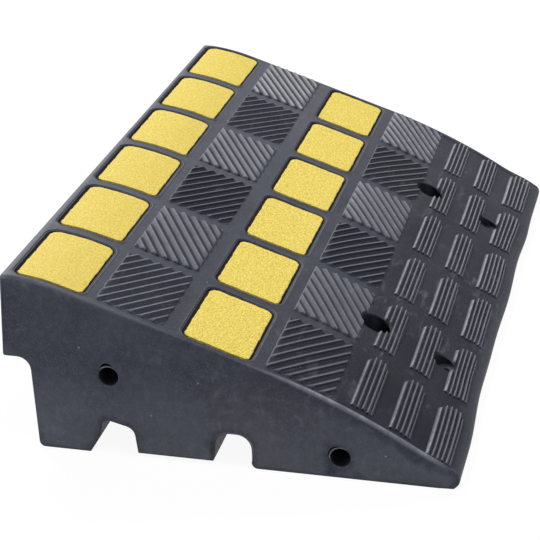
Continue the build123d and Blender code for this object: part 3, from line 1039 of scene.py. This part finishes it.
def socket_bore(skin, place, mouth, crescent_depth, circle, side):
    """One socket: loops from its lip on the end face, round its crescent and sleeve, and down its bore."""
    gap = smooth(mouth, socket_radius, socket_radius + sleeve_gap)
    sleeve = np.minimum(socket_radius + sleeve_wall, mouth - 0.02)
    hollow = (crescent_depth - 1.0) * gap
    # Reach, depth and painted light of each loop: painted shade down the crescent and the bore, a painted
    # highlight on the sleeve's face
    steps = (
        (mouth + socket_lip, 0.0, 0.0),
        (mouth + 0.5, 0.08, 0.1),
        (mouth + 0.15, 0.4, 0.1),
        (mouth, 1.0, -0.6),
        (mouth, 1.0 + hollow, -1.0),
        (sleeve, 1.02 + hollow, -1.0),
        (sleeve, 1.02 - 0.1 * gap, 0.3),
        ((sleeve + bore_radius) / 2, 1.02 - 0.35 * gap, 1.0),
        (bore_radius, 1.1, 0.3),
        (bore_radius, 4.0, -0.9),
        (bore_radius, socket_depth - 1.0, -1.0),
        (bore_radius - 1.0, socket_depth, -1.0),
    )
    loops = []
    for reach, depth, _ in steps:
        x, z = (place + circle * reach).T
        loops.append(np.c_[x, side * (end_y - np.broadcast_to(depth, mouth.shape)), z])
    skin.add(np.stack(loops), np.array([step[2] for step in steps])[:, None], cap_last=True)


def clear_of_pockets(s, y, lift):
    """Points inside an anchor pocket moved straight out to its rim and sunk below the slope."""
    for centre, radius in pockets:
        away = np.stack([slope_line(s)[0][..., 0], y], axis=-1) - centre
        gap = np.maximum(np.linalg.norm(away, axis=-1), 1e-6)
        cut = gap < radius + pocket_clearance
        rim = away / gap[..., None] * (radius + pocket_clearance) + centre
        s = np.where(cut, distance_at(rim[..., 0]), s)
        y = np.where(cut, rim[..., 1], y)
        lift = np.where(cut, -pocket_sink, lift)
    return s, y, lift


def add_ridged(skin, s, y, lift, wear_and_painted_light, root):
    """Ridged top of lines of points on the slope, and its underside sunk to a root, closed at both sides."""
    s, y, lift = clear_of_pockets(s, y, lift)
    top = on_slope(s, y, lift)
    under = on_slope(s[:, ::-1], y[:, ::-1], -root)
    wear_and_painted_light = np.concatenate([wear_and_painted_light, np.zeros_like(wear_and_painted_light)], axis=1)
    skin.add(np.concatenate([top, under], axis=1), wear_and_painted_light, strips=True)


def pad_lines(turn, steps):
    """Lines laid along the ribs from one side of a pad to the other: their places across the ribs and points.

    They stand at the breaks of the rib section and at the pad's corners. A line ends where it meets a side,
    or the arc of a corner, half a chord from its point nearest to the arc's middle.
    """
    heading = np.array([cos(turn), sin(turn)])
    across = np.array([-sin(turn), cos(turn)])
    inner = pad_half - pad_radius
    reach = (inner * np.abs(across)).sum() + pad_radius - pad_tip_gap
    corner = (pad_half * across * [1, -1]).sum()
    breaks = np.r_[0.0, rib_top_width / 2 + rib_flank * rib_breaks]
    ribs = np.arange(-ribs_each_side, ribs_each_side + 1) * rib_pitch
    places = np.r_[(ribs[:, None] + np.r_[breaks, -breaks]).ravel(), reach, -reach, corner, -corner]
    places = np.unique(np.round(places[np.abs(places) <= reach], 4))
    limits = np.sort((pad_half * both_ways[:, None] - places[:, None, None] * across) / heading, axis=1)
    limits = np.c_[limits[:, 0].max(axis=1), limits[:, 1].min(axis=1)]
    tips = places[:, None, None] * across + limits[..., None] * heading
    middles = np.sign(tips) * inner
    half_chord = np.sqrt(np.clip(pad_radius**2 - (middles @ across - places[:, None]) ** 2, 0, None))
    in_corner = (np.abs(tips) > inner).all(axis=-1)
    low, high = np.where(in_corner, middles @ heading + both_ways * half_chord, limits).T[..., None]
    ends = np.minimum(pad_end_steps, (high - low) / 2 * np.linspace(0, 0.9, len(pad_end_steps)))
    spread = np.linspace(0, 1, steps + 2)[1:-1]
    between = low + pad_end_steps[-1] + np.maximum(high - low - 2 * pad_end_steps[-1], 0) * spread
    between = np.clip(between, low + ends[:, -1:], high - ends[:, -1:])
    along = np.concatenate([low + ends, between, (high - ends)[:, ::-1]], axis=1)
    return places, places[:, None, None] * across + along[..., None] * heading


def tread_pad(skin, centre, turn, dust_and_painted_light, steps):
    """One ribbed pad: lines along its ribs, each at the height of the rib section at its place across.

    The section falls from a rib's top to the groove partly straight and partly as a smooth step. Along the
    pad's sides the height rounds off to below the slope as a quarter ellipse.
    """
    places, flat = pad_lines(turn, steps)
    beyond = np.abs(flat) - (pad_half - pad_radius)
    past_side = np.linalg.norm(np.clip(beyond, 0, None), axis=-1) + np.clip(beyond.max(axis=-1), None, 0)
    rounding = quarter_round((pad_radius - past_side) / pad_edge_round)
    off_rib = ((places + rib_pitch / 2) % rib_pitch - rib_pitch / 2)[:, None]
    fall = np.clip((np.abs(off_rib) - rib_top_width / 2) / rib_flank, 0, 1)
    section = 1 - blend(fall, smooth(fall, 0, 1), rib_softness)
    lift = (pad_bury + pad_floor + rib_height * section) * rounding - pad_bury
    # Painted highlights on the crests, uphill flanks and uphill edge, painted shade in the grooves and on the
    # downhill flanks, and the row's painted light
    uphill = uphill_highlight * (1 + uphill_far_gain * centre[1] / end_y)
    downhill = row_light_downhill_gain * dust_and_painted_light - downhill_shade
    wear_and_painted_light = (rib_crest_rub_and_highlight * smooth(section, *rib_crest) + dust_and_painted_light) * rounding
    wear_and_painted_light = wear_and_painted_light - rib_groove_shade * (1 - smooth(section, *rib_groove))
    wear_and_painted_light = wear_and_painted_light + band(section, *rib_side) * np.where(off_rib * sin(turn) > 0, uphill, downhill)
    edge = (1 - smooth(flat + pad_half, *pad_edge_line)) * [1.0, pad_near_edge_share * (turn > 0)]
    s, y = np.moveaxis(flat + centre, -1, 0)
    add_ridged(skin, s, y, lift, blend(wear_and_painted_light, pad_edge_highlight, edge.max(axis=-1)), pad_root)


def lug_section(ridges):
    """Section of a lug down the slope: places, heights, painted light and rubbing, shares of the side walls
    and ridge numbers.

    It is a low crown with one ridge section to a pitch and a bead after the last, between two walls.
    """
    pitch = (lug_across - lug_shelf) / ridges
    crests = (np.arange(ridges) + 0.5) * pitch - lug_across / 2
    breaks = np.r_[(crests[:, None] + ridge_places * pitch).ravel(), crests[-1] + lug_bead_places * pitch]
    table = np.stack([breaks, ridge_heights * ridges + lug_bead_heights, ridge_rub_light_and_shade * ridges + lug_bead_light_and_shade])
    breaks, heights, shading_and_wear = table[:, first_ridge_start:]
    walls = np.r_[breaks[0] - uphill_wall * wall_steps, breaks[-1] + downhill_wall * wall_steps]
    places = np.unique(np.round(np.r_[walls, breaks], 4))
    numbers = np.clip(np.round((places - crests[0]) / pitch), 0, ridges - 1)
    rise = lug_height + lug_crown * (1 - (2 * places / lug_across) ** 2)
    rise = rise * (1 - groove_depth_share * (1 - np.interp(places, breaks, heights)))
    shading_and_wear = np.where(places < breaks[0], uphill_wall_highlight, np.interp(places, breaks, shading_and_wear))
    side = np.minimum((places - places[0]) / uphill_wall, (places[-1] - places) / downhill_wall)
    side = 1 - (1 - np.clip(side, 0, 1)) ** wall_swell
    return np.stack([places, rise, shading_and_wear, side, numbers])[..., None]


def lug(skin, centre_s, centre_y, ridges, steps):
    """One lug: lines laid along its ridges, one at each place of its section.

    Each line ends at a rounded far end, where the height rounds off as a quarter ellipse. The near end is cut
    square, a little unevenly from ridge to ridge, and the height falls towards it.
    """
    places, rise, shading_and_wear, side, numbers = lug_section(ridges)
    beyond = np.clip(np.abs(places), 0, lug_end_radius)
    far = lug_far_reach - lug_end_radius + np.sqrt(lug_end_radius**2 - beyond**2)
    near = lug_near_reach + lug_near_jag * np.sin(lug_jag_turn * numbers + centre_s + centre_y)
    spread = np.linspace(0, 1, steps)[1:-1]
    inner = (far - lug_end_run) * spread - (near - lug_end_run) * (1 - spread)
    along = np.concatenate([lug_end_steps - near, inner, (far - lug_end_steps)[:, ::-1]], axis=1)
    to_far, to_near = far - along, near + along
    rounding = quarter_round(np.minimum(to_far / lug_far_round, to_near / lug_near_round))
    fall = blend(lug_near_share, 1.0, smooth(to_near, 0.0, lug_near_run))
    lift = (lug_bury + rise) * rounding * fall * side - lug_bury
    # Painted highlights with rub on crests and the uphill wall and painted shade in the grooves, lighter
    # towards the far end; painted shadow at each near end's foot
    far_gain = lug_far_gain * centre_y / end_y
    rubbed_and_lit = shading_and_wear * (1 + far_gain) * smooth(side, *wall_highlight_run) * rounding
    wear_and_painted_light = np.where(shading_and_wear > 0, rubbed_and_lit, shading_and_wear * (lug_shade_share - far_gain))
    foot = 1 - smooth(to_near, *lug_foot_line)
    s = np.broadcast_to(places + centre_s, along.shape)
    add_ridged(skin, s, along + centre_y, lift, blend(wear_and_painted_light, -lug_foot_shadow, foot), lug_root)


def panel_sheet(centre, phase):
    """One yellow panel: loops of a rounded rectangle, up its edge, over a soft shoulder and in to the middle.

    The edge wanders in waves round the panel, each corner has a radius of its own, and the top is buckled by
    the product of two waves that grows towards the middle.
    """
    turn, ray = directions(sheet_facets)
    wander = sum(height * np.sin(count * turn + times * phase) for height, count, times in sheet_edge_waves)
    quarter = np.floor(turn / (np.pi / 2))
    corner = panel_radius + sheet_corner_cuts[quarter.astype(int)]
    corner = corner + sheet_corner_spread * np.sin(sheet_corner_turn * quarter + phase)

    def outline(offset):
        return rounded_rectangle(ray * sheet_half[1] * 2, sheet_half, corner[:, None], offset)

    under, top = outline(-under_inset), outline(-top_inset)
    buckle = sheet_buckle * np.sin(top / sheet_buckle_lengths + phase).prod(axis=1)
    loops = [laid(under * share, centre, -recess_depth) for share in sheet_under_shares]
    loops += [laid(outline(offset + wander[:, None]), centre, lift) for offset, lift in sheet_edge_steps]
    loops += [laid(top * share, centre, buckle * (1 - share)) for share in sheet_top_shares]
    skin = Skin()
    skin.add(np.stack(loops), cap_first=True, cap_last=True)
    return skin


rubber = rubber_finish()
yellow = panel_finish()
body_skin().make("rubber_block", rubber, "black_rubber", ["rubber_body"], weld=True)
for column, x in pad_columns.items():
    pads = Skin()
    for row, y in enumerate(row_places):
        centre = np.array([distance_at(x), y + pad_slip])
        steps = pad_steps_at_pocket if column == "lower" and y in anchor_rows else pad_steps
        tread_pad(pads, centre, radians(rib_angles[row % 2]), pad_row_light[column][row], steps)
    pads.make(f"tread_pads_{column}", rubber, "black_rubber")
lugs = Skin()
for x, ridges, slips in zip(lug_columns, ridge_counts, lug_slips):
    for y, slip in zip(row_places, np.linspace(*slips, row_count)):
        lug(lugs, distance_at(x), y + slip, ridges, lug_steps_at_pocket if y in anchor_rows else lug_steps)
lugs.make("toe_lugs", rubber, "black_rubber")
for column, column_s in panel_s.items():
    for row, y in enumerate(row_places, start=1):
        centre = np.array([column_s + panel_slips[column][row - 1] + sheet_drift[column], y])
        panel_sheet(centre, row + slope_column_phase * (column == "slope")).make(
            f"sheet_{column}_{row}", yellow, "yellow_panel", [f"panel_{column}_{row}"]
        )

# Camera at the photograph's place, in metres
camera_place = Vector((0.3213, -1.4492, 0.7149))
azimuth, elevation, roll = radians(13.828), radians(24.615), radians(-1.193)
looking = Vector((-sin(azimuth) * cos(elevation), cos(azimuth) * cos(elevation), -sin(elevation)))
camera_data = bpy.data.cameras.new("photo_camera")
camera_data.lens = 117.38
camera_data.sensor_width = 36.0
camera = placed("photo_camera", camera_data)
camera.matrix_world = aimed(camera_place, looking) @ Matrix.Rotation(roll, 4, "Z")
bpy.context.scene.camera = camera

# Studio, in metres and watts
white = (1, 1, 1, 1)
ambient_share = 0.16
floor_size = 30.0
floor_colour = (0.86, 0.86, 0.87, 1)
floor_roughness = 0.9
floor_white = 1.05
shadow_share = 0.12


def seen_directly(finish):
    """1 for rays from the camera, from gloss and through glass, and 0 for the rays that light the object."""
    names = ("Is Camera Ray", "Is Glossy Ray", "Is Transmission Ray")
    camera_ray, gloss, glass = (finish.number("ShaderNodeLightPath", {}, {}, name) for name in names)
    return finish.math("MAXIMUM", finish.math("MAXIMUM", camera_ray, gloss), glass)


def studio_world():
    """White backdrop to the eye, and an even soft light of a smaller strength on the object."""
    finish = Finish(bpy.data.worlds.new("studio"))
    strength = ambient_share + (1 - ambient_share) * seen_directly(finish)
    finish.feed(finish.nodes["Background"], {"Color": white, "Strength": strength})
    bpy.context.scene.world = finish.owner


def studio_floor():
    """Pale matt floor, plain white to the eye but for the small share that keeps the ramp's shadow."""
    mesh = bpy.data.meshes.new("floor")
    corners = np.array([(-1, -1, 0), (1, -1, 0), (1, 1, 0), (-1, 1, 0)]) * floor_size / 2
    mesh.from_pydata(corners, [], [(0, 1, 2, 3)])
    finish = Finish(bpy.data.materials.new("floor"))
    matt = finish.nodes["Principled BSDF"]
    finish.feed(matt, {"Base Color": floor_colour, "Roughness": floor_roughness, "Specular IOR Level": 0.0})
    glow = finish.node("ShaderNodeEmission", {}, {"Color": white, "Strength": floor_white})
    share = seen_directly(finish) * (1 - shadow_share)
    seen = finish.node("ShaderNodeMixShader", {}, {0: share, 1: matt.outputs[0], 2: glow.outputs[0]})
    finish.feed(finish.nodes["Material Output"], {"Surface": seen.outputs[0]})
    mesh.materials.append(finish.owner)
    placed("floor", mesh)


def soft_lamp(name, place, power, size):
    """Square lamp at a place, turned to the middle of the ramp."""
    data = bpy.data.lights.new(name, "AREA")
    data.energy = power
    data.size = size
    placed(name, data).matrix_world = aimed(Vector(place), -Vector(place))


studio_world()
studio_floor()
soft_lamp("key_lamp", (-1.4, 1.6, 2.4), 71.0, 1.05)
soft_lamp("top_lamp", (0.55, -0.55, 2.2), 21.5, 0.7)
soft_lamp("fill_lamp", (-1.3, -2.0, 0.5), 15.0, 1.0)
bpy.context.scene.view_settings.view_transform = "Standard"
